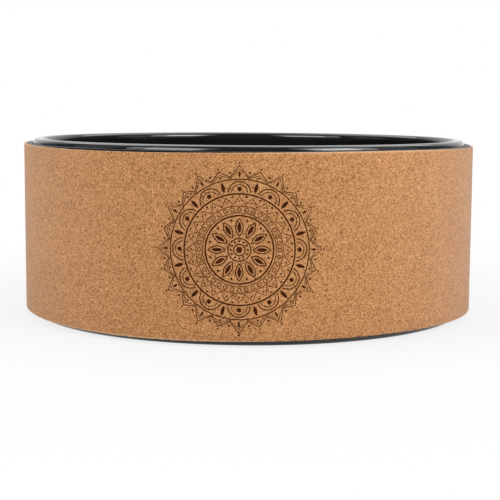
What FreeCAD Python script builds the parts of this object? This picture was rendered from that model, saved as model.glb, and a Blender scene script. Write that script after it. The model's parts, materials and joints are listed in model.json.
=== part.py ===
import FreeCAD, Part
import math
import os

# A yoga wheel lying on its side: a rigid plastic hoop, wrapped in a foam strip and a cork sheet.
# Lengths are in millimetres. The wheel's axis is Z, its lower rim stands on z = 0, and the front faces -Y.

# Hoop: a thick-walled ring whose ends are rounded into rims.
HOOP_DIAMETER = 317.4
HOOP_WALL = 8.7
HOOP_WIDTH = 127.0
RIM_ROUND = 3.6
# The most of the wall that one rounded edge takes, so that a flat land stays between a rim's two edges.
RIM_ROUND_WALL_SHARE = 0.45

# Wrap: the layers bonded round the hoop, from the inside out.
FILM_THICKNESS = 0.15
FOAM_THICKNESS = 3.8
CORK_THICKNESS = 1.6
# Left at both faces of a bonding film, so that no layer cuts into the next one. It is a share of the hoop's
# outer radius, because the flats of a faceted ring stand in further on a larger ring.
FILM_CLEARANCE_RADIUS_SHARE = 0.0009452

# How far the hoop's rims stand out past the cork.
RIM_REVEAL = 4.0
# How far the foam's bonded corners lie behind the cork's edges, and the films' edges behind those corners.
FOAM_SETBACK = 0.2
FILM_SETBACK = 1.5

# The cork's outer edges are eased, and the foam, held at both faces, swells at its free edges past the cork's.
CORK_EDGE_ROUND = 0.5
CORK_EDGE_ROUND_THICKNESS_SHARE = 0.45
FOAM_EDGE_SWELL = 0.8

# Each strip's two ends meet in a butt seam. The seams lie at the back, and are staggered.
SEAM_GAP = 0.35
CORK_SEAM_DEGREES = 90.0
FOAM_SEAM_DEGREES = 115.0

FULL_TURN = 360.0
HALF = 0.5
AXIS = FreeCAD.Vector(0, 0, 1)
ORIGIN = FreeCAD.Vector(0, 0, 0)

# Radii of the stack, each layer seated on the one before, with a bond line between two layers.
HOOP_OUTER = HOOP_DIAMETER * HALF
HOOP_INNER = HOOP_OUTER - HOOP_WALL
FILM_CLEARANCE = FILM_CLEARANCE_RADIUS_SHARE * HOOP_OUTER
BOND_LINE = FILM_THICKNESS + 2 * FILM_CLEARANCE
FOAM_INNER = HOOP_OUTER + BOND_LINE
FOAM_OUTER = FOAM_INNER + FOAM_THICKNESS
CORK_INNER = FOAM_OUTER + BOND_LINE
CORK_OUTER = CORK_INNER + CORK_THICKNESS

# Lower edge of each layer. The upper edge mirrors it about the middle of the hoop's width.
CORK_LOW = RIM_REVEAL
FOAM_LOW = CORK_LOW + FOAM_SETBACK
FILM_LOW = FOAM_LOW + FILM_SETBACK


def point(radius, height):
    """A point of a cross-section, in the plane through the axis and +X."""
    return FreeCAD.Vector(radius, 0, height)


def line(start, end):
    return Part.LineSegment(start, end).toShape()


def arc(start, middle, end):
    return Part.Arc(start, middle, end).toShape()


def mirrored(height):
    """The same height measured from the upper rim."""
    return HOOP_WIDTH - height


def edge_round(start, corner, end):
    """A quarter-round edge between two straight sides that meet at a square corner."""
    centre = start + end - corner
    towards_corner = corner - centre
    radius = (start - centre).Length
    middle = centre + towards_corner * (radius / towards_corner.Length)
    return arc(start, middle, end)


def face_of(edges):
    return Part.Face(Part.Wire(Part.sortEdges(edges)[0]))


def hoop_section():
    """The pipe wall, with all four edges rounded and a flat land left on each rim."""
    turn = min(RIM_ROUND, RIM_ROUND_WALL_SHARE * HOOP_WALL)
    edges = [
        line(point(HOOP_INNER, turn), point(HOOP_INNER, mirrored(turn))),
        line(point(HOOP_OUTER, turn), point(HOOP_OUTER, mirrored(turn))),
    ]
    for rim, inboard in ((0.0, turn), (HOOP_WIDTH, mirrored(turn))):
        inner_land = point(HOOP_INNER + turn, rim)
        outer_land = point(HOOP_OUTER - turn, rim)
        edges.append(line(inner_land, outer_land))
        edges.append(edge_round(point(HOOP_INNER, inboard), point(HOOP_INNER, rim), inner_land))
        edges.append(edge_round(point(HOOP_OUTER, inboard), point(HOOP_OUTER, rim), outer_land))
    return face_of(edges)


def film_section(seat):
    """A flat bonding film, in the bond line round the layer whose outer radius is its seat."""
    inner = seat + FILM_CLEARANCE
    outer = inner + FILM_THICKNESS
    low, high = FILM_LOW, mirrored(FILM_LOW)
    corners = [point(inner, low), point(outer, low), point(outer, high), point(inner, high)]
    return face_of([line(corners[i - 1], corner) for i, corner in enumerate(corners)])


def foam_section():
    """The foam strip, whose free edges swell between its two bonded faces."""
    low, high = FOAM_LOW, mirrored(FOAM_LOW)
    middle = (FOAM_INNER + FOAM_OUTER) * HALF
    return face_of([
        line(point(FOAM_INNER, low), point(FOAM_INNER, high)),
        line(point(FOAM_OUTER, low), point(FOAM_OUTER, high)),
        arc(point(FOAM_INNER, low), point(middle, low - FOAM_EDGE_SWELL), point(FOAM_OUTER, low)),
        arc(point(FOAM_INNER, high), point(middle, high + FOAM_EDGE_SWELL), point(FOAM_OUTER, high)),
    ])


def cork_section():
    """The cork sheet, cut square, with its outer edges eased."""
    ease = min(CORK_EDGE_ROUND, CORK_EDGE_ROUND_THICKNESS_SHARE * CORK_THICKNESS)
    edges = [
        line(point(CORK_INNER, CORK_LOW), point(CORK_INNER, mirrored(CORK_LOW))),
        line(point(CORK_OUTER, CORK_LOW + ease), point(CORK_OUTER, mirrored(CORK_LOW + ease))),
    ]
    for edge, inboard in ((CORK_LOW, CORK_LOW + ease), (mirrored(CORK_LOW), mirrored(CORK_LOW + ease))):
        flat_end = point(CORK_OUTER - ease, edge)
        edges.append(line(point(CORK_INNER, edge), flat_end))
        edges.append(edge_round(flat_end, point(CORK_OUTER, edge), point(CORK_OUTER, inboard)))
    return face_of(edges)


def ring(section):
    """A closed ring: the section turned once round the axis."""
    return section.revolve(ORIGIN, AXIS, FULL_TURN)


def wrapped(section, inner, seam_degrees):
    """A strip wrapped once round at the given inner radius, with a butt seam left open at seam_degrees."""
    gap = math.degrees(SEAM_GAP / inner)
    strip = section.revolve(ORIGIN, AXIS, FULL_TURN - gap)
    strip.rotate(ORIGIN, AXIS, seam_degrees + gap * HALF)
    return strip


def pieces():
    """Every piece of the wheel by name, from the inside out."""
    return {
        "hoop": ring(hoop_section()),
        "hoop_adhesive": wrapped(film_section(HOOP_OUTER), HOOP_OUTER, FOAM_SEAM_DEGREES),
        "foam_underlay": wrapped(foam_section(), FOAM_INNER, FOAM_SEAM_DEGREES),
        "cork_adhesive": wrapped(film_section(FOAM_OUTER), FOAM_OUTER, CORK_SEAM_DEGREES),
        "cork_cover": wrapped(cork_section(), CORK_INNER, CORK_SEAM_DEGREES),
    }


def main():
    os.makedirs("parts", exist_ok=True)
    for name, solid in pieces().items():
        solid.exportStep(os.path.join("parts", name + ".step"))
        print(name, "valid", solid.isValid(), "solids", len(solid.Solids), "volume", round(solid.Volume))


main()
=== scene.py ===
import json
import math

import bmesh
import bpy
from bpy.props import FloatProperty, FloatVectorProperty, IntProperty, PointerProperty
from mathutils import Matrix, Vector


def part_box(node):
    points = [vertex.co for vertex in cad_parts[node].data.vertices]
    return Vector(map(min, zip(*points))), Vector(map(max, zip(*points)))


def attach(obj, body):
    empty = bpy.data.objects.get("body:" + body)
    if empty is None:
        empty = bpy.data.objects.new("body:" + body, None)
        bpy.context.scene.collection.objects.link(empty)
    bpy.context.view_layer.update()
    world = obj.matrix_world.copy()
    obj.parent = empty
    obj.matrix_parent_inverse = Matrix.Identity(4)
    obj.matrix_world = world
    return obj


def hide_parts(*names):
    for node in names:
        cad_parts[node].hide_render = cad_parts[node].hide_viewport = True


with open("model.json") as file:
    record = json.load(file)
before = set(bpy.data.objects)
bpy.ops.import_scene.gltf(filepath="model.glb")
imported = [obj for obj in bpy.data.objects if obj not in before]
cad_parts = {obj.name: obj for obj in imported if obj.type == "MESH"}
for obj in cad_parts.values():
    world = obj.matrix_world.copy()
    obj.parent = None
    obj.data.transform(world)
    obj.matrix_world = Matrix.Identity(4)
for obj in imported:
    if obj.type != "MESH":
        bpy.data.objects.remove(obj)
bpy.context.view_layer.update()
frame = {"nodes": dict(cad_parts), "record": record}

bl_info = {
    "name": "Yoga wheel",
    "version": (1, 0, 0),
    "blender": (4, 5, 0),
    "location": "3D View > Sidebar > Yoga wheel",
    "description": "Dresses a yoga wheel's frame: hoop, bonding films, foam, cork, print and studio",
    "category": "Object",
}

FULL_TURN = 2.0 * math.pi
QUARTER_TURN = 0.5 * math.pi
MM_PER_METRE = 1000.0
ORIGIN = (0.0, 0.0, 0.0)
AXIS = (0.0, 0.0, 1.0)

# The frame's own sizes, in metres. The wheel's axis is Z, and the front faces -Y.
HOOP_LOW, HOOP_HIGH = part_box("hoop")
FOAM_LOW, FOAM_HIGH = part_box("foam_underlay")
CORK_LOW, CORK_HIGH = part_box("cork_cover")
BORE = next(mount for mount in frame["record"]["mounts"] if mount["name"] == "inner_bore")
HOOP_INNER = BORE["dims"]["r_mm"] / MM_PER_METRE
HOOP_OUTER = max(HOOP_HIGH.x, HOOP_HIGH.y)
CORK_OUTER = max(CORK_HIGH.x, CORK_HIGH.y)
MID_HEIGHT = 0.5 * (HOOP_LOW.z + HOOP_HIGH.z)

# Two points nearer than this are one point, and faces that meet at less than this angle are shaded as one.
MERGE_DISTANCE = 1e-6
SMOOTH_ANGLE = math.radians(40.0)

# How finely each ring is turned, how many steps round each edge, and how many cuts across each tall wall.
HOOP_STEPS = 384
HOOP_EDGE_STEPS = 14
FOAM_STEPS = 360
FOAM_EDGE_CUTS = 15
CORK_STEPS = 720
CORK_EDGE_STEPS = 4
WALL_CUTS = 24

# Patterns, in cells or waves for each metre.
GRANULES_PER_METRE = 1550.0
CRUMBS_PER_METRE = 2700.0
WARP_PER_METRE = 1400.0
FLECKS_PER_METRE = 420.0
BLOTCHES_PER_METRE = 22.0
PITS_PER_METRE = 1800.0
FLOW_PER_METRE = 14.0
PAPER_PER_METRE = 60.0
# Marks run round the hoop and streaks run round the films, so they are far closer along Z.
MARKS_PER_METRE = (3.0, 3.0, 900.0)
STREAKS_PER_METRE = (40.0, 40.0, 400.0)

# How far the granules' outlines stray, how far a cut edge's paler colour and painted highlight and its
# crumbling reach into the sheet, and the size of a granule that is missing there, in metres.
WARP_DEPTH = 0.0005
CUT_REACH = 0.0010
CRUMBLE_REACH = 0.0012
CRUMBLE_GRAIN = 0.0016

# Relief of each finish: its depth in metres, and how strongly it shows.
CORK_RELIEF = (0.0002, 0.55)
INK_RELIEF = (0.0002, 0.40)
HOOP_RELIEF = (0.00002, 0.12)
FOAM_RELIEF = (0.0002, 0.15)
FILM_RELIEF = (0.00005, 0.30)

# Roughness of each finish, at the low and at the high end of its pattern.
CORK_ROUGHNESS = (0.92, 0.78)
INK_ROUGHNESS = (0.62, 0.82)
HOOP_ROUGHNESS = (0.04, 0.08)
FOAM_ROUGHNESS = (0.50, 0.35)
FILM_ROUGHNESS = (0.35, 0.60)

# Spans of a pattern's value: all of it, what a noise mostly keeps to, the same for the hoop's noise, and
# what the foam's pits change their tone and their roughness over.
WHOLE_SPAN = (0.0, 1.0)
NOISE_SPAN = (0.3, 0.7)
HOOP_NOISE_SPAN = (0.3, 0.75)
PIT_TONE_SPAN = (0.1, 0.6)
PIT_ROUGHNESS_SPAN = (0.0, 0.7)

# A finish's second tone, as a share of its colour.
HOOP_GREY_SHARE = 1.5
FOAM_GREY_SHARE = 2.2
FILM_DEEP_SHARE = 0.7

# How flat the foam's swollen edges are: 2 is an arch, and a higher even number is flatter, with rounder
# shoulders.
SWELL_POWER = 6

# How many times the cork sheet rises and falls round the wheel, and where it crosses its level, measured
# from the front.
WANDER_WAVES = 3
WANDER_TURN = math.radians(2.0)

# The tones at which a granule of cork is brown, plain from one to the next, and pale.
GRANULE_TONES = (0.14, 0.40, 0.62, 0.88)
# How wide the gap between two granules is, as a share of a granule.
GAP_CELL_SHARE = 0.10
# Shares of a mixture: crumbs in the granules' tone, bark in the gaps and flecks, and along a cut the
# cut cork's paler colour with a painted highlight.
CRUMB_SHARE = 0.35
GAP_SHADE_SHARE = 0.35
FLECK_SHADE_SHARE = 0.44
CUT_HIGHLIGHT_SHARE = 0.65
# How much the blotches darken and lighten the cork.
BLOTCH_SHARES = (0.965, 1.035)
# A cell holds a fleck when its tone is past the first span. The fleck fades out from its middle over the
# second one, in cells.
FLECK_TONE_SPAN = (0.80, 0.84)
FLECK_CORE_SPAN = (0.16, 0.30)
# Over this span of a granule's tone the ink on it gets thinner, and lets so much brown cork through.
THIN_INK_SPAN = (0.55, 0.95)
THIN_INK_SHARES = (0.0, 0.16)

# The rosette is drawn in a circle of radius 1, so each of its lengths is a share of the print's radius.
FINE_LINE_SHARE = 0.0090
PLAIN_LINE_SHARE = 0.0128
BOLD_LINE_SHARE = 0.0175
CENTRE_DOT_SHARE = 0.034
# Rings: radius and line.
RING_SHARES = (
    (0.066, PLAIN_LINE_SHARE),
    (0.130, PLAIN_LINE_SHARE),
    (0.392, BOLD_LINE_SHARE),
    (0.424, FINE_LINE_SHARE),
    (0.502, FINE_LINE_SHARE),
    (0.640, BOLD_LINE_SHARE),
    (0.806, PLAIN_LINE_SHARE),
)
# Solid dots: copies for each petal, radius of their ring, radius of one dot, turn in steps of that ring.
DOT_SHARES = (
    (1, 0.098, 0.0120, 0.0),
    (1, 0.345, 0.0140, 0.5),
    (2, 0.556, 0.0105, 0.0),
    (2, 0.608, 0.0120, 0.5),
    (1, 0.695, 0.0260, 0.0),
    (2, 0.886, 0.0125, 0.5),
    (1, 0.842, 0.0125, 0.5),
    (1, 0.990, 0.0100, 0.0),
    (1, 0.945, 0.0100, 0.5),
)
# Open beads: copies for each petal, radius of their ring, radius of one bead, and line.
BEAD_SHARES = ((3, 0.463, 0.0265, FINE_LINE_SHARE),)
# Outlined petals: foot, tip, half width, line, and the gap to their solid heart.
PETAL_SHARES = ((0.150, 0.366, 0.050, PLAIN_LINE_SHARE, 0.0150),)
# Solid leaves: foot, tip, half width, and turn in steps of their ring.
LEAF_SHARES = (
    (0.666, 0.790, 0.021, 0.5),
    (0.826, 0.900, 0.013, 0.0),
)
# Zigzags: radius of the valleys, of the points over a petal and of the points between, and line.
ZIGZAG_SHARES = (
    (0.526, 0.618, 0.618, PLAIN_LINE_SHARE),
    (0.823, 0.926, 0.880, FINE_LINE_SHARE),
    (0.841, 0.970, 0.922, PLAIN_LINE_SHARE),
)
# Arches: radius of their feet from the centre, radius of one arch, and line.
ARCH_SHARES = (
    (0.652, 0.134, PLAIN_LINE_SHARE),
    (0.652, 0.096, FINE_LINE_SHARE),
)

# How many corners the outline of each motif has.
RING_CORNERS = 144
PETAL_CORNERS = 32
DOT_CORNERS = 14
BEAD_CORNERS = 20
ARCH_CORNERS = 40

WHITE = (1.0, 1.0, 1.0, 1.0)
# The studio's backdrop lies this way from the wheel, behind and above it. Over the span of a direction's
# reach this way, what gloss shows turns from the dark room to the backdrop's white.
BACKDROP_SIDE = (0.0, 1.0, 0.6)
BACKDROP_SPAN = (0.74, 0.92)
# How much the floor's paper varies, and how far out the floor is all white, as a share of the reach at
# which it begins to turn white.
PAPER_SHARES = (0.98, 1.0)
WHITE_REACH_SHARE = 2.0
# Lamps: name, azimuth and elevation in degrees, distance, width and height in metres, power in watts.
# Softboxes light everything, and no gloss shows them.
SOFTBOXES = (
    ("left_softbox", -70.0, 28.0, 1.3, (1.1, 0.5), 8.5),
    ("right_softbox", 52.0, 28.0, 1.3, (1.1, 0.5), 11.0),
    ("top_softbox", 180.0, 70.0, 1.5, (1.4, 1.0), 9.0),
)
# Panels are for the hoop's gloss, and light nothing else.
GLOSS_PANELS = (
    ("left_gloss_panel", -40.0, 29.0, 1.2, (0.85, 0.80), 6.4),
    ("left_gloss_core", -37.0, 29.0, 1.15, (0.50, 0.65), 4.4),
    ("right_gloss_panel", 51.0, 34.0, 1.2, (0.75, 0.80), 8.2),
    ("right_gloss_core", 49.0, 34.0, 1.15, (0.40, 0.65), 6.0),
    ("left_side_panel", -82.0, 20.0, 1.2, (0.50, 0.90), 0.7),
    ("right_side_panel", 82.0, 20.0, 1.2, (0.50, 0.90), 0.9),
    ("top_gloss_panel", 180.0, 65.0, 1.2, (2.00, 1.10), 14.5),
)


class WheelSizes(bpy.types.PropertyGroup):
    """Sizes of the hoop and its wrap that the frame's boxes don't give."""

    rim_round: FloatProperty(
        name="Rim round", description="Radius of the hoop's four rounded edges", default=0.0036,
        unit="LENGTH",
    )
    foam_thickness: FloatProperty(
        name="Foam thickness", description="Thickness of the foam strip", default=0.0038, unit="LENGTH"
    )
    foam_swell: FloatProperty(
        name="Foam swell", description="How far the foam's free edges bulge", default=0.0008, unit="LENGTH"
    )
    cork_thickness: FloatProperty(
        name="Cork thickness", description="Thickness of the cork sheet", default=0.0016, unit="LENGTH"
    )
    cork_edge_round: FloatProperty(
        name="Cork edge", description="Radius of the cork's eased edges", default=0.0005, unit="LENGTH"
    )
    edge_crumble: FloatProperty(
        name="Edge crumble", description="How deep granules are missing along a cut edge", default=0.00022,
        unit="LENGTH",
    )
    cork_wander: FloatProperty(
        name="Cork wander", description="How far the glued sheet wanders up and down as it goes round",
        default=0.0006, unit="LENGTH",
    )
    seam_gap: FloatProperty(
        name="Seam gap", description="Width of the open butt seam of foam and cork", default=0.00035,
        unit="LENGTH",
    )
    cork_seam: FloatProperty(
        name="Cork seam", description="Where the cork's ends meet, from +X", default=math.radians(90.0),
        subtype="ANGLE",
    )
    foam_seam: FloatProperty(
        name="Foam seam", description="Where the foam's ends meet, from +X", default=math.radians(115.0),
        subtype="ANGLE",
    )


class PrintSizes(bpy.types.PropertyGroup):
    """The rosette printed on the front of the cork."""

    radius: FloatProperty(
        name="Radius", description="Radius of the rosette", default=0.0548, unit="LENGTH"
    )
    drop: FloatProperty(
        name="Drop", description="How far the rosette's centre lies below the middle of the wheel's width",
        default=0.0011, unit="LENGTH",
    )
    petals: IntProperty(
        name="Petals", description="How many times the pattern repeats round its centre", default=12, min=6
    )
    ink_lift: FloatProperty(
        name="Ink lift", description="How far the ink stands on the cork", default=0.00006, unit="LENGTH"
    )
    ink_depth: FloatProperty(
        name="Ink depth", description="Thickness of the ink, part of it sunk in the cork", default=0.00012,
        unit="LENGTH",
    )


def colour(name, description, default):
    return FloatVectorProperty(
        name=name, description=description, default=default, subtype="COLOR", min=0.0, max=1.0
    )


class WheelFinishes(bpy.types.PropertyGroup):
    """Colours of the wheel's finishes, as linear values."""

    cork_pale: colour("Pale cork", "Palest granules", (0.850, 0.470, 0.224))
    cork_plain: colour("Plain cork", "Most of the granules", (0.600, 0.282, 0.104))
    cork_brown: colour("Brown cork", "Darker granules", (0.185, 0.060, 0.015))
    # The cut edges' colour is partly the cut cork's paler tone and partly a painted highlight along both
    # edges.
    cut_cork_and_highlight: colour("Cut cork", "Freshly cut edges of the sheet", (0.800, 0.500, 0.280))
    cork_bark: colour("Bark specks", "Specks of bark and the gaps between granules", (0.150, 0.047, 0.012))
    hoop_black: colour("Hoop black", "Moulded plastic", (0.0034, 0.0034, 0.0035))
    foam_black: colour("Foam black", "Closed-cell foam", (0.005, 0.005, 0.005))
    film_amber: colour("Film amber", "Bonding film", (0.620, 0.500, 0.300))
    ink_brown: colour("Ink brown", "Ink where it lies thick", (0.055, 0.013, 0.003))


class StudioSettings(bpy.types.PropertyGroup):
    """Camera, floor and lamps."""

    camera_distance: FloatProperty(
        name="Camera distance", description="From the wheel's axis, along the floor", default=0.9597,
        unit="LENGTH",
    )
    camera_height: FloatProperty(
        name="Camera height", description="Above the floor", default=0.15674, unit="LENGTH"
    )
    camera_azimuth: FloatProperty(
        name="Camera azimuth", description="Round the wheel, from -Y towards +X", default=math.radians(1.9),
        subtype="ANGLE",
    )
    camera_pitch: FloatProperty(
        name="Camera pitch", description="How far the camera looks down", default=math.radians(6.768),
        subtype="ANGLE",
    )
    camera_yaw: FloatProperty(
        name="Camera yaw", description="How far the camera looks past the axis, to the right",
        default=math.radians(0.087), subtype="ANGLE",
    )
    camera_roll: FloatProperty(
        name="Camera roll", description="Turn about the line of sight", default=math.radians(0.344),
        subtype="ANGLE",
    )
    lens: FloatProperty(
        name="Lens", description="Focal length in millimetres on a 36 mm sensor", default=92.38,
        unit="CAMERA",
    )
    floor_size: FloatProperty(
        name="Floor size", description="Side of the floor", default=3.0, unit="LENGTH"
    )
    floor_white: FloatProperty(
        name="Floor white", description="What the floor reflects", default=0.8, subtype="FACTOR",
        min=0.0, max=1.0,
    )
    floor_glow: FloatProperty(
        name="Floor glow", description="Share of plain white in the floor that is seen under the wheel",
        default=0.8, subtype="FACTOR", min=0.0, max=1.0,
    )
    shadow_reach: FloatProperty(
        name="Shadow reach", description="How far from the axis the floor begins to turn white",
        default=0.22, unit="LENGTH",
    )
    fill: FloatProperty(
        name="Fill", description="Light from all round the studio, as a share of white", default=0.32,
        subtype="FACTOR", min=0.0, max=1.0,
    )
    room_dark: colour("Room dark", "What gloss shows of the studio before the wheel", (0.115, 0.140, 0.170))


# Handling of objects and meshes.


def deselect_all():
    if bpy.context.mode != "OBJECT":
        bpy.ops.object.mode_set(mode="OBJECT")
    bpy.ops.object.select_all(action="DESELECT")


def named(name):
    """The primitive that was just added, under its piece's name."""
    piece = bpy.context.object
    piece.name = name
    piece.data.name = name
    return piece


def select_only(piece):
    deselect_all()
    piece.select_set(True)
    bpy.context.view_layer.objects.active = piece


def edit():
    bpy.ops.object.mode_set(mode="EDIT")
    bpy.ops.mesh.select_mode(type="VERT")


def pick(kind, test):
    """Selects the vertices, edges or faces of the mesh in edit mode that pass the test."""
    mesh = bpy.context.object.data
    shape = bmesh.from_edit_mesh(mesh)
    for part in getattr(shape, kind):
        part.select_set(False)
    for part in getattr(shape, kind):
        if test(part):
            part.select_set(True)
    shape.select_flush(True)
    bmesh.update_edit_mesh(mesh)


def move_selected(place):
    """Moves each selected vertex of the mesh in edit mode to where place() puts it."""
    mesh = bpy.context.object.data
    shape = bmesh.from_edit_mesh(mesh)
    for vertex in shape.verts:
        if vertex.select:
            vertex.co = place(vertex.co)
    bmesh.update_edit_mesh(mesh)


def apply_modifier(piece, modifier):
    select_only(piece)
    bpy.ops.object.modifier_apply(modifier=modifier.name)


def settle(piece, node, material):
    """Hands a finished piece to the frame: what it stands for, its body and its material."""
    piece.data.materials.clear()
    piece.data.materials.append(material)
    if node:
        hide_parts(node)
    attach(piece, "root")


# Rings: a wall's cross-section is drawn at +X and turned round the axis.


def wall_section(name, inner, outer, low, high):
    """A rectangle standing at +X, as wide as the wall is thick, left in edit mode and all selected."""
    deselect_all()
    place = (0.5 * (inner + outer), 0.0, 0.5 * (low + high))
    bpy.ops.mesh.primitive_plane_add(size=1.0, location=place, rotation=(QUARTER_TURN, 0.0, 0.0))
    piece = named(name)
    piece.scale = (outer - inner, high - low, 1.0)
    bpy.ops.object.transform_apply(location=True, rotation=True, scale=True)
    edit()
    bpy.ops.mesh.select_all(action="SELECT")
    return piece


def keep_outline():
    """Leaves only the edges of the section."""
    bpy.ops.mesh.select_all(action="SELECT")
    bpy.ops.mesh.delete(type="ONLY_FACE")


def cut_edges(test, cuts):
    """Cuts those of the section's edges whose length passes the test into short ones."""
    bpy.ops.mesh.select_mode(type="EDGE")
    pick("edges", lambda edge: test(edge.calc_length()))
    bpy.ops.mesh.subdivide(number_cuts=cuts)
    bpy.ops.mesh.select_mode(type="VERT")


def turn_section(steps, gap=0.0):
    """Turns the section's outline round Z. With a gap, the strip's two ends are left apart and closed."""
    bpy.ops.mesh.select_all(action="SELECT")
    bpy.ops.mesh.spin(steps=steps, angle=FULL_TURN - gap, center=ORIGIN, axis=AXIS)
    bpy.ops.mesh.select_all(action="SELECT")
    if gap:
        bpy.ops.mesh.fill_holes(sides=0)
    else:
        bpy.ops.mesh.remove_doubles(threshold=MERGE_DISTANCE)
    bpy.ops.mesh.select_all(action="SELECT")
    bpy.ops.mesh.normals_make_consistent(inside=False)
    bpy.ops.object.mode_set(mode="OBJECT")


def turn_seam(piece, seam, gap):
    """Turns a strip whose first end is at +X so that its seam is centred on the seam's angle."""
    select_only(piece)
    piece.rotation_euler.z = seam + 0.5 * gap
    bpy.ops.object.transform_apply(location=True, rotation=True, scale=True)


def smooth(piece):
    select_only(piece)
    bpy.ops.object.shade_smooth_by_angle(angle=SMOOTH_ANGLE)


def crumble(piece, depth, low, high):
    """Eats granules out of a strip's two cut edges."""
    group = piece.vertex_groups.new(name="cut_edges")
    for vertex in piece.data.vertices:
        distance = min(vertex.co.z - low, high - vertex.co.z)
        weight = 1.0 - distance / CRUMBLE_REACH
        if weight > 0.0:
            group.add([vertex.index], min(1.0, weight), "REPLACE")
    clouds = bpy.data.textures.new(piece.name + "_grain", type="CLOUDS")
    clouds.noise_scale = CRUMBLE_GRAIN
    clouds.noise_depth = 1
    clouds.contrast = 2.0
    modifier = piece.modifiers.new("crumble", "DISPLACE")
    modifier.texture = clouds
    modifier.texture_coords = "LOCAL"
    modifier.vertex_group = group.name
    modifier.mid_level = 1.0
    modifier.strength = depth
    apply_modifier(piece, modifier)


def wander(piece, reach):
    """Lifts and lowers a strip in slow waves round the axis."""

    def lifted(point):
        angle = math.atan2(point.x, -point.y)
        return point + Vector((0.0, 0.0, reach * math.sin(WANDER_WAVES * (angle - WANDER_TURN))))

    select_only(piece)
    edit()
    bpy.ops.mesh.select_all(action="SELECT")
    move_selected(lifted)
    bpy.ops.object.mode_set(mode="OBJECT")


# Materials. Patterns read Object coordinates in metres, so a scale is in cells or waves for each metre.


def new_material(name):
    material = bpy.data.materials.new(name)
    material.use_nodes = True
    return material


def add_node(owner, kind, inputs=None, **settings):
    """Adds a node to a material or a world, sets it, and links or sets each named or numbered input."""
    node = owner.node_tree.nodes.new(kind)
    for key, value in settings.items():
        setattr(node, key, value)
    for key, value in (inputs or {}).items():
        if isinstance(value, bpy.types.NodeSocket):
            owner.node_tree.links.new(value, node.inputs[key])
        else:
            node.inputs[key].default_value = value
    return node


def shader_of(material):
    return material.node_tree.nodes["Principled BSDF"]


def feed(material, socket_name, source):
    """Links a node's output to the material's shader."""
    material.node_tree.links.new(source, shader_of(material).inputs[socket_name])


def set_shader(material, **values):
    """Sets the shader's own sockets. A socket's name is written with low lines for its spaces."""
    for key, value in values.items():
        shader_of(material).inputs[key.replace("_", " ")].default_value = value


def object_place(material):
    return add_node(material, "ShaderNodeTexCoord").outputs["Object"]


def noise(material, place, scale=1.0):
    return add_node(material, "ShaderNodeTexNoise", {"Vector": place, "Scale": scale, "Detail": 3.0})


def cells(material, place, scale, feature="F1"):
    return add_node(material, "ShaderNodeTexVoronoi", {"Vector": place, "Scale": scale}, feature=feature)


def maths(owner, operation, first, second=0.0):
    return add_node(owner, "ShaderNodeMath", {0: first, 1: second}, operation=operation).outputs[0]


def spread(owner, value, span, result=WHOLE_SPAN):
    """Turns a value's span into its result's, from end to end, and holds the ends."""
    inputs = {"Value": value}
    inputs["From Min"], inputs["From Max"] = span
    inputs["To Min"], inputs["To Max"] = result
    return add_node(owner, "ShaderNodeMapRange", inputs).outputs["Result"]


def vector_maths(owner, operation, first, second=(0.0, 0.0, 0.0)):
    """Works on vectors. A scale takes a number, and a length or a dot product gives one."""
    key = "Scale" if operation == "SCALE" else 1
    node = add_node(owner, "ShaderNodeVectorMath", {0: first, key: second}, operation=operation)
    return node.outputs["Value" if operation in ("LENGTH", "DOT_PRODUCT") else "Vector"]


def channel(material, tint, name):
    return add_node(material, "ShaderNodeSeparateColor", {0: tint}).outputs[name]


def mix(owner, share, first, second):
    """Mixes two colours, which have sockets of their own in the Mix node."""
    inputs = {0: share, 6: first, 7: second}
    return add_node(owner, "ShaderNodeMix", inputs, data_type="RGBA").outputs[2]


def mix_values(material, share, first, second):
    return add_node(material, "ShaderNodeMix", {0: share, 2: first, 3: second}).outputs[0]


def solid(tint):
    """A colour with nothing showing through it."""
    return (*tint, 1.0)


def toned(tint, share):
    """A colour made lighter or deeper, each of its values by the same share."""
    return tuple(share * value for value in tint)


def ramp(material, value, places, tints):
    """A colour ramp with a stop at each place, in that place's colour."""
    node = add_node(material, "ShaderNodeValToRGB", {"Fac": value})
    elements = node.color_ramp.elements
    while len(elements) < len(places):
        elements.new(1.0)
    for element, place, tint in zip(elements, places, tints):
        element.position = place
        element.color = solid(tint)
    return node.outputs["Color"]


def bump(material, height, relief):
    depth, strength = relief
    inputs = {"Height": height, "Distance": depth, "Strength": strength}
    feed(material, "Normal", add_node(material, "ShaderNodeBump", inputs).outputs["Normal"])


def cork_grain(material, place):
    """Granules of agglomerated cork: each one's tone, how near its edge is, and the surface's height."""
    wobble = noise(material, place, WARP_PER_METRE).outputs["Color"]
    offset = vector_maths(material, "MULTIPLY", wobble, (WARP_DEPTH,) * 3)
    warped = vector_maths(material, "ADD", place, offset)
    granule_tone = channel(material, cells(material, warped, GRANULES_PER_METRE).outputs["Color"], "Red")
    crumb_tone = channel(material, cells(material, warped, CRUMBS_PER_METRE).outputs["Color"], "Green")
    to_edge = cells(material, warped, GRANULES_PER_METRE, "DISTANCE_TO_EDGE").outputs["Distance"]
    tone = mix_values(material, CRUMB_SHARE, granule_tone, crumb_tone)
    edge = spread(material, to_edge, (0.0, GAP_CELL_SHARE), (1.0, 0.0))
    height = maths(material, "SUBTRACT", tone, edge)
    return tone, edge, height


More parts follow.
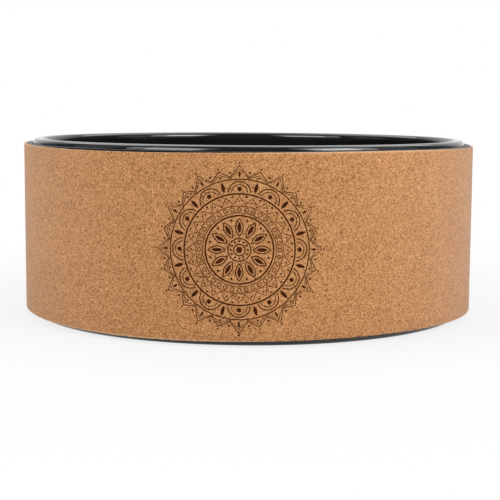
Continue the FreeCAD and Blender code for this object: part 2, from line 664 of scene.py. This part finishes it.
def cork_material(finish):
    """Agglomerated cork: granules of several tones, with dark gaps and flecks, and paler at its cuts,
    partly the cut cork's own colour and partly a painted highlight.
    """
    material = new_material("cork")
    place = object_place(material)
    tone, edge, height = cork_grain(material, place)
    tints = (finish.cork_brown, finish.cork_plain, finish.cork_plain, finish.cork_pale)
    granules = ramp(material, tone, GRANULE_TONES, tints)
    cloud = noise(material, place, BLOTCHES_PER_METRE).outputs["Fac"]
    blotched = vector_maths(material, "SCALE", granules, spread(material, cloud, NOISE_SPAN, BLOTCH_SHARES))
    bark = solid(finish.cork_bark)
    gapped = mix(material, maths(material, "MULTIPLY", edge, GAP_SHADE_SHARE), blotched, bark)
    flecks = cells(material, place, FLECKS_PER_METRE).outputs
    chosen = spread(material, channel(material, flecks["Color"], "Blue"), FLECK_TONE_SPAN)
    core = spread(material, flecks["Distance"], FLECK_CORE_SPAN, (FLECK_SHADE_SHARE, 0.0))
    flecked = mix(material, maths(material, "MULTIPLY", chosen, core), gapped, bark)
    # Along both cut edges the colour turns paler: partly the cut cork's own tone, partly a painted
    # highlight.
    level = add_node(material, "ShaderNodeSeparateXYZ", {0: place}).outputs["Z"]
    from_middle = maths(material, "ABSOLUTE", maths(material, "SUBTRACT", level, MID_HEIGHT))
    edge_level = CORK_HIGH.z - MID_HEIGHT
    cut_highlight_share = spread(material, from_middle, (edge_level - CUT_REACH, edge_level), (0.0, CUT_HIGHLIGHT_SHARE))
    feed(material, "Base Color", mix(material, cut_highlight_share, flecked, solid(finish.cut_cork_and_highlight)))
    feed(material, "Roughness", spread(material, tone, WHOLE_SPAN, CORK_ROUGHNESS))
    bump(material, height, CORK_RELIEF)
    set_shader(material, IOR=1.45, Specular_IOR_Level=0.2, Sheen_Weight=0.45, Sheen_Roughness=0.4)
    return material


def ink_material(finish):
    """Ink that has soaked into the granules: thinner on some of them, with the cork's own relief."""
    material = new_material("print_ink")
    place = object_place(material)
    tone, _, height = cork_grain(material, place)
    thin = spread(material, tone, THIN_INK_SPAN, THIN_INK_SHARES)
    feed(material, "Base Color", mix(material, thin, solid(finish.ink_brown), solid(finish.cork_brown)))
    feed(material, "Roughness", spread(material, tone, WHOLE_SPAN, INK_ROUGHNESS))
    bump(material, height, INK_RELIEF)
    set_shader(material, IOR=1.45, Specular_IOR_Level=0.1)
    return material


def hoop_material(finish):
    """Polished black plastic, with a faint flow in its tone and fine marks round it."""
    material = new_material("hoop_plastic")
    place = object_place(material)
    flow = noise(material, place, FLOW_PER_METRE).outputs["Fac"]
    tints = (finish.hoop_black, toned(finish.hoop_black, HOOP_GREY_SHARE))
    feed(material, "Base Color", ramp(material, flow, HOOP_NOISE_SPAN, tints))
    marks = noise(material, vector_maths(material, "MULTIPLY", place, MARKS_PER_METRE)).outputs["Fac"]
    feed(material, "Roughness", spread(material, marks, HOOP_NOISE_SPAN, HOOP_ROUGHNESS))
    bump(material, marks, HOOP_RELIEF)
    set_shader(material, IOR=1.5)
    return material


def foam_material(finish):
    """Matte closed-cell foam, with its cut cells showing as pits."""
    material = new_material("foam")
    place = object_place(material)
    pits = cells(material, place, PITS_PER_METRE).outputs["Distance"]
    tints = (finish.foam_black, toned(finish.foam_black, FOAM_GREY_SHARE))
    feed(material, "Base Color", ramp(material, pits, PIT_TONE_SPAN, tints))
    feed(material, "Roughness", spread(material, pits, PIT_ROUGHNESS_SPAN, FOAM_ROUGHNESS))
    bump(material, pits, FOAM_RELIEF)
    set_shader(material, IOR=1.5, Specular_IOR_Level=0.4)
    return material


def film_material(finish):
    """Pale amber bonding film with a streaky coat of glue."""
    material = new_material("adhesive")
    place = object_place(material)
    coat = noise(material, vector_maths(material, "MULTIPLY", place, STREAKS_PER_METRE)).outputs["Fac"]
    tints = (toned(finish.film_amber, FILM_DEEP_SHARE), finish.film_amber)
    feed(material, "Base Color", ramp(material, coat, NOISE_SPAN, tints))
    feed(material, "Roughness", spread(material, coat, NOISE_SPAN, FILM_ROUGHNESS))
    bump(material, coat, FILM_RELIEF)
    return material


# The rosette's motifs are modelled flat, one after another, in one mesh in edit mode. Each finished motif
# is hidden, so that the next one is all that can be selected.


def add_outline(corners, place, fill="NOTHING"):
    """A circle's corners, each moved to its place."""
    bpy.ops.mesh.primitive_circle_add(vertices=corners, radius=1.0, fill_type=fill, location=ORIGIN)
    move_selected(place)


def add_solid(corners, place):
    add_outline(corners, place, "NGON")


def add_line(corners, outer, inner):
    """A line drawn as the strip between its outer and its inner edge."""
    add_outline(corners, outer)
    add_outline(corners, inner)
    bpy.ops.mesh.select_all(action="SELECT")
    bpy.ops.mesh.bridge_edge_loops()


def turned(point, turn):
    return Matrix.Rotation(turn, 3, "Z") @ point


def circle_place(radius, centre=0.0, turn=0.0):
    return lambda corner: turned(corner * radius + Vector((0.0, centre, 0.0)), turn)


def lens_place(foot, tip, half_width, inset=0.0, turn=0.0):
    """A petal between two arcs that meet in points at its foot and tip, smaller all round by its inset."""
    # The arcs are parabolas, so they leave a point at twice the slope of straight sides.
    half_length = 0.5 * (tip - foot)
    point_angle = math.atan(2.0 * half_width / half_length)
    inner_half_length = half_length - inset / math.sin(point_angle)
    middle = 0.5 * (foot + tip)

    def place(corner):
        across = math.copysign((half_width - inset) * (1.0 - corner.y ** 2), corner.x)
        return turned(Vector((across, middle + inner_half_length * corner.y, 0.0)), turn)

    return place


def zigzag_place(points, valley, tall, short):
    """A star outline whose points are tall and short in turn."""
    step = math.pi / points

    def place(corner):
        number = round(math.atan2(-corner.x, corner.y) / step)
        point = short if number % 4 else tall
        return corner.normalized() * (valley if number % 2 else point)

    return place


def repeat_motif(copies):
    """Copies the motif round the centre, then hides all of it."""
    bpy.ops.mesh.select_all(action="SELECT")
    if copies > 1:
        turn = FULL_TURN * (copies - 1) / copies
        bpy.ops.mesh.spin(steps=copies - 1, angle=turn, dupli=True, center=ORIGIN, axis=AXIS)
    bpy.ops.mesh.select_all(action="SELECT")
    bpy.ops.mesh.hide()


def draw_rings():
    for radius, line in RING_SHARES:
        add_line(RING_CORNERS, circle_place(radius + 0.5 * line), circle_place(radius - 0.5 * line))
        repeat_motif(1)


def draw_dots(petals):
    for copies_per_petal, ring, radius, turn in DOT_SHARES:
        copies = petals * copies_per_petal
        add_solid(DOT_CORNERS, circle_place(radius, ring, turn * FULL_TURN / copies))
        repeat_motif(copies)


def draw_beads(petals):
    for copies_per_petal, ring, radius, line in BEAD_SHARES:
        add_line(BEAD_CORNERS, circle_place(radius, ring), circle_place(radius - line, ring))
        repeat_motif(petals * copies_per_petal)


def draw_petals(petals):
    for foot, tip, half_width, line, gap in PETAL_SHARES:
        add_line(PETAL_CORNERS, lens_place(foot, tip, half_width), lens_place(foot, tip, half_width, line))
        add_solid(PETAL_CORNERS, lens_place(foot, tip, half_width, line + gap))
        repeat_motif(petals)


def draw_leaves(petals):
    for foot, tip, half_width, turn in LEAF_SHARES:
        add_solid(PETAL_CORNERS, lens_place(foot, tip, half_width, 0.0, turn * FULL_TURN / petals))
        repeat_motif(petals)


def draw_zigzags(petals):
    points = 2 * petals
    for valley, tall, short, line in ZIGZAG_SHARES:
        outer = zigzag_place(points, valley, tall, short)
        inner = zigzag_place(points, valley - line, tall - line, short - line)
        add_line(2 * points, outer, inner)
        repeat_motif(1)


def draw_arches(petals):
    for foot, radius, line in ARCH_SHARES:
        add_line(ARCH_CORNERS, circle_place(radius, foot), circle_place(radius - line, foot))
        bpy.ops.mesh.select_all(action="SELECT")
        bpy.ops.mesh.bisect(plane_co=(0.0, foot, 0.0), plane_no=(0.0, 1.0, 0.0), clear_inner=True)
        repeat_motif(petals)


def wrap_on_cork(piece, radius, centre_height):
    """Bends the flat print round the wheel's axis, with its centre on the front at its height."""
    for vertex in piece.data.vertices:
        angle = vertex.co.x / radius
        height = centre_height + vertex.co.y
        vertex.co = (radius * math.sin(angle), -radius * math.cos(angle), height)
    piece.data.update()


# One operator for each piece, and one for the two films.


class YOGAWHEEL_OT_hoop(bpy.types.Operator):
    """Turn the hoop: a pipe wall with four rounded edges"""

    bl_idname = "yoga_wheel.hoop"
    bl_label = "Hoop"

    def execute(self, context):
        sizes = context.scene.wheel_sizes
        piece = wall_section("hoop_shell", HOOP_INNER, HOOP_OUTER, HOOP_LOW.z, HOOP_HIGH.z)
        bpy.ops.mesh.bevel(offset=sizes.rim_round, segments=HOOP_EDGE_STEPS, affect="VERTICES")
        keep_outline()
        cut_edges(lambda length: length > MID_HEIGHT, WALL_CUTS)
        turn_section(HOOP_STEPS)
        smooth(piece)
        settle(piece, "hoop", hoop_material(context.scene.wheel_finishes))
        return {"FINISHED"}


class YOGAWHEEL_OT_films(bpy.types.Operator):
    """Coat the two bonding films, whose frame shapes stay"""

    bl_idname = "yoga_wheel.films"
    bl_label = "Bonding films"

    def execute(self, context):
        material = film_material(context.scene.wheel_finishes)
        for name in ("hoop_adhesive", "cork_adhesive"):
            film = frame["nodes"][name]
            film.data.materials.clear()
            film.data.materials.append(material)
        return {"FINISHED"}


class YOGAWHEEL_OT_foam(bpy.types.Operator):
    """Wrap the foam: a strip whose free edges swell between its bonded faces"""

    bl_idname = "yoga_wheel.foam"
    bl_label = "Foam underlay"

    def execute(self, context):
        sizes = context.scene.wheel_sizes
        outer = max(FOAM_HIGH.x, FOAM_HIGH.y)
        inner = outer - sizes.foam_thickness
        low = FOAM_LOW.z + sizes.foam_swell
        high = FOAM_HIGH.z - sizes.foam_swell
        middle = 0.5 * (inner + outer)
        piece = wall_section("foam_strip", inner, outer, low, high)
        keep_outline()
        cut_edges(lambda length: length < MID_HEIGHT, FOAM_EDGE_CUTS)

        def swell(point):
            from_middle_share = 2.0 * (point.x - middle) / sizes.foam_thickness
            share = max(0.0, 1.0 - from_middle_share ** SWELL_POWER)
            return point + Vector((0.0, 0.0, math.copysign(sizes.foam_swell * share, point.z - MID_HEIGHT)))

        bpy.ops.mesh.select_all(action="SELECT")
        move_selected(swell)
        gap = sizes.seam_gap / inner
        turn_section(FOAM_STEPS, gap)
        turn_seam(piece, sizes.foam_seam, gap)
        smooth(piece)
        settle(piece, "foam_underlay", foam_material(context.scene.wheel_finishes))
        return {"FINISHED"}


class YOGAWHEEL_OT_cork(bpy.types.Operator):
    """Wrap the cork: a sheet with eased, slightly crumbled edges and a butt seam at the back"""

    bl_idname = "yoga_wheel.cork"
    bl_label = "Cork cover"

    def execute(self, context):
        sizes = context.scene.wheel_sizes
        outer = CORK_OUTER - context.scene.print_sizes.ink_lift
        inner = CORK_OUTER - sizes.cork_thickness
        piece = wall_section("cork_sheet", inner, outer, CORK_LOW.z, CORK_HIGH.z)
        pick("verts", lambda vertex: vertex.co.x > 0.5 * (inner + outer))
        bpy.ops.mesh.bevel(offset=sizes.cork_edge_round, segments=CORK_EDGE_STEPS, affect="VERTICES")
        keep_outline()
        cut_edges(lambda length: length > MID_HEIGHT, WALL_CUTS)
        gap = sizes.seam_gap / inner
        turn_section(CORK_STEPS, gap)
        turn_seam(piece, sizes.cork_seam, gap)
        crumble(piece, sizes.edge_crumble, CORK_LOW.z, CORK_HIGH.z)
        wander(piece, sizes.cork_wander)
        smooth(piece)
        settle(piece, "cork_cover", cork_material(context.scene.wheel_finishes))
        return {"FINISHED"}


class YOGAWHEEL_OT_rosette(bpy.types.Operator):
    """Print the rosette on the front of the cork"""

    bl_idname = "yoga_wheel.rosette"
    bl_label = "Printed rosette"

    def execute(self, context):
        sizes = context.scene.print_sizes
        deselect_all()
        bpy.ops.mesh.primitive_circle_add(vertices=DOT_CORNERS, radius=CENTRE_DOT_SHARE, fill_type="NGON")
        piece = named("printed_rosette")
        edit()
        repeat_motif(1)
        draw_rings()
        draw_dots(sizes.petals)
        draw_beads(sizes.petals)
        draw_petals(sizes.petals)
        draw_leaves(sizes.petals)
        draw_zigzags(sizes.petals)
        draw_arches(sizes.petals)
        bpy.ops.mesh.reveal(select=True)
        bpy.ops.transform.resize(value=(sizes.radius, sizes.radius, 1.0), center_override=ORIGIN)
        bpy.ops.mesh.quads_convert_to_tris()
        bpy.ops.mesh.select_mode(type="FACE")
        pick("faces", lambda face: face.normal.z < 0.0)
        bpy.ops.mesh.flip_normals()
        bpy.ops.object.mode_set(mode="OBJECT")
        wrap_on_cork(piece, CORK_OUTER, MID_HEIGHT - sizes.drop)
        ink = piece.modifiers.new("ink", "SOLIDIFY")
        ink.thickness = sizes.ink_depth
        ink.offset = -1.0
        apply_modifier(piece, ink)
        settle(piece, None, ink_material(context.scene.wheel_finishes))
        return {"FINISHED"}


# The studio: a white backdrop behind and above the wheel, a pale floor, lamps and a camera.


def seen_rays(owner):
    """1 for what is seen, straight or in a reflection, and 0 for what only lights the scene."""
    path = add_node(owner, "ShaderNodeLightPath").outputs
    mirrored = maths(owner, "MAXIMUM", path["Is Glossy Ray"], path["Is Transmission Ray"])
    return maths(owner, "MAXIMUM", path["Is Camera Ray"], mirrored)


def light_world(scene, studio):
    """An even fill where it lights. Where it is seen it is white, but gloss shows a dark room in front."""
    world = bpy.data.worlds.new("studio")
    world.use_nodes = True
    scene.world = world
    path = add_node(world, "ShaderNodeLightPath").outputs
    heading = add_node(world, "ShaderNodeTexCoord").outputs["Generated"]
    behind_and_above = vector_maths(world, "DOT_PRODUCT", heading, BACKDROP_SIDE)
    backdrop = spread(world, behind_and_above, BACKDROP_SPAN)
    white_share = maths(world, "MAXIMUM", backdrop, path["Is Camera Ray"])
    shown = mix(world, white_share, solid(studio.room_dark), WHITE)
    light = mix(world, seen_rays(world), solid((studio.fill,) * 3), shown)
    world.node_tree.links.new(light, world.node_tree.nodes["Background"].inputs["Color"])


def floor_material(studio):
    """A pale floor that keeps the shadow near the wheel, and turns white further away where it is seen."""
    material = new_material("studio_floor")
    tree = material.node_tree
    place = object_place(material)
    fibres = noise(material, place, PAPER_PER_METRE).outputs["Fac"]
    paper = spread(material, fibres, NOISE_SPAN, PAPER_SHARES)
    feed(material, "Base Color", maths(material, "MULTIPLY", paper, studio.floor_white))
    set_shader(material, Roughness=0.9, Specular_IOR_Level=0.1)
    away = vector_maths(material, "LENGTH", place)
    fade = (studio.shadow_reach, WHITE_REACH_SHARE * studio.shadow_reach)
    white_share = spread(material, away, fade, (studio.floor_glow, 1.0))
    seen_share = maths(material, "MULTIPLY", seen_rays(material), white_share)
    glow = add_node(material, "ShaderNodeEmission", {"Color": WHITE, "Strength": 1.0}).outputs[0]
    inputs = {0: seen_share, 1: shader_of(material).outputs[0], 2: glow}
    surface = add_node(material, "ShaderNodeMixShader", inputs).outputs[0]
    tree.links.new(surface, tree.nodes["Material Output"].inputs["Surface"])
    return material


def add_softbox(name, azimuth, elevation, distance, size, power):
    """A rectangular lamp that faces the middle of the wheel."""
    lamp = bpy.data.lights.new(name, "AREA")
    lamp.shape = "RECTANGLE"
    lamp.size, lamp.size_y = size
    lamp.energy = power
    softbox = bpy.data.objects.new(name, lamp)
    bpy.context.scene.collection.objects.link(softbox)
    turn = math.radians(azimuth)
    lift = math.radians(elevation)
    away = Vector((math.sin(turn) * math.cos(lift), -math.cos(turn) * math.cos(lift), math.sin(lift)))
    softbox.location = Vector((0.0, 0.0, MID_HEIGHT)) + away * distance
    softbox.rotation_euler = away.to_track_quat("Z", "Y").to_euler()
    return softbox


def add_camera(scene, studio):
    lens = bpy.data.cameras.new("camera")
    lens.lens = studio.lens
    camera = bpy.data.objects.new("camera", lens)
    scene.collection.objects.link(camera)
    around = studio.camera_azimuth
    reach = studio.camera_distance
    camera.location = (reach * math.sin(around), -reach * math.cos(around), studio.camera_height)
    heading = Matrix.Rotation(around - studio.camera_yaw, 3, "Z")
    tilt = Matrix.Rotation(QUARTER_TURN - studio.camera_pitch, 3, "X")
    roll = Matrix.Rotation(studio.camera_roll, 3, "Z")
    camera.rotation_euler = (heading @ tilt @ roll).to_euler()
    scene.camera = camera


class YOGAWHEEL_OT_studio(bpy.types.Operator):
    """Set the floor, the lamps and the camera"""

    bl_idname = "yoga_wheel.studio"
    bl_label = "Studio"

    def execute(self, context):
        scene = context.scene
        studio = scene.studio_settings
        deselect_all()
        bpy.ops.mesh.primitive_plane_add(size=studio.floor_size, location=(0.0, 0.0, HOOP_LOW.z))
        floor = named("studio_floor")
        bpy.ops.object.transform_apply(location=True, rotation=True, scale=True)
        floor.data.materials.append(floor_material(studio))
        light_world(scene, studio)
        for lamp in SOFTBOXES:
            add_softbox(*lamp).visible_glossy = False
        glossy = bpy.data.collections.new("glossy_pieces")
        glossy.objects.link(bpy.data.objects["hoop_shell"])
        for lamp in GLOSS_PANELS:
            add_softbox(*lamp).light_linking.receiver_collection = glossy
        add_camera(scene, studio)
        scene.view_settings.view_transform = "Standard"
        return {"FINISHED"}


class YOGAWHEEL_PT_panel(bpy.types.Panel):
    """Every step of the wheel, in the order in which they are taken"""

    bl_idname = "YOGAWHEEL_PT_panel"
    bl_label = "Yoga wheel"
    bl_space_type = "VIEW_3D"
    bl_region_type = "UI"
    bl_category = "Yoga wheel"

    def draw(self, context):
        for name, group in SETTINGS.items():
            box = self.layout.box()
            for setting in group.__annotations__:
                box.prop(getattr(context.scene, name), setting)
        for step in STEPS:
            self.layout.operator(step.bl_idname)


SETTINGS = {
    "wheel_sizes": WheelSizes,
    "print_sizes": PrintSizes,
    "wheel_finishes": WheelFinishes,
    "studio_settings": StudioSettings,
}
STEPS = (
    YOGAWHEEL_OT_hoop,
    YOGAWHEEL_OT_films,
    YOGAWHEEL_OT_foam,
    YOGAWHEEL_OT_cork,
    YOGAWHEEL_OT_rosette,
    YOGAWHEEL_OT_studio,
)


def register():
    for name, group in SETTINGS.items():
        bpy.utils.register_class(group)
        setattr(bpy.types.Scene, name, PointerProperty(type=group))
    for step in STEPS:
        bpy.utils.register_class(step)
    bpy.utils.register_class(YOGAWHEEL_PT_panel)


def unregister():
    bpy.utils.unregister_class(YOGAWHEEL_PT_panel)
    for step in reversed(STEPS):
        bpy.utils.unregister_class(step)
    for name, group in SETTINGS.items():
        delattr(bpy.types.Scene, name)
        bpy.utils.unregister_class(group)


def main():
    register()
    bpy.ops.yoga_wheel.hoop()
    bpy.ops.yoga_wheel.films()
    bpy.ops.yoga_wheel.foam()
    bpy.ops.yoga_wheel.cork()
    bpy.ops.yoga_wheel.rosette()
    bpy.ops.yoga_wheel.studio()


if __name__ == "__main__":
    main()
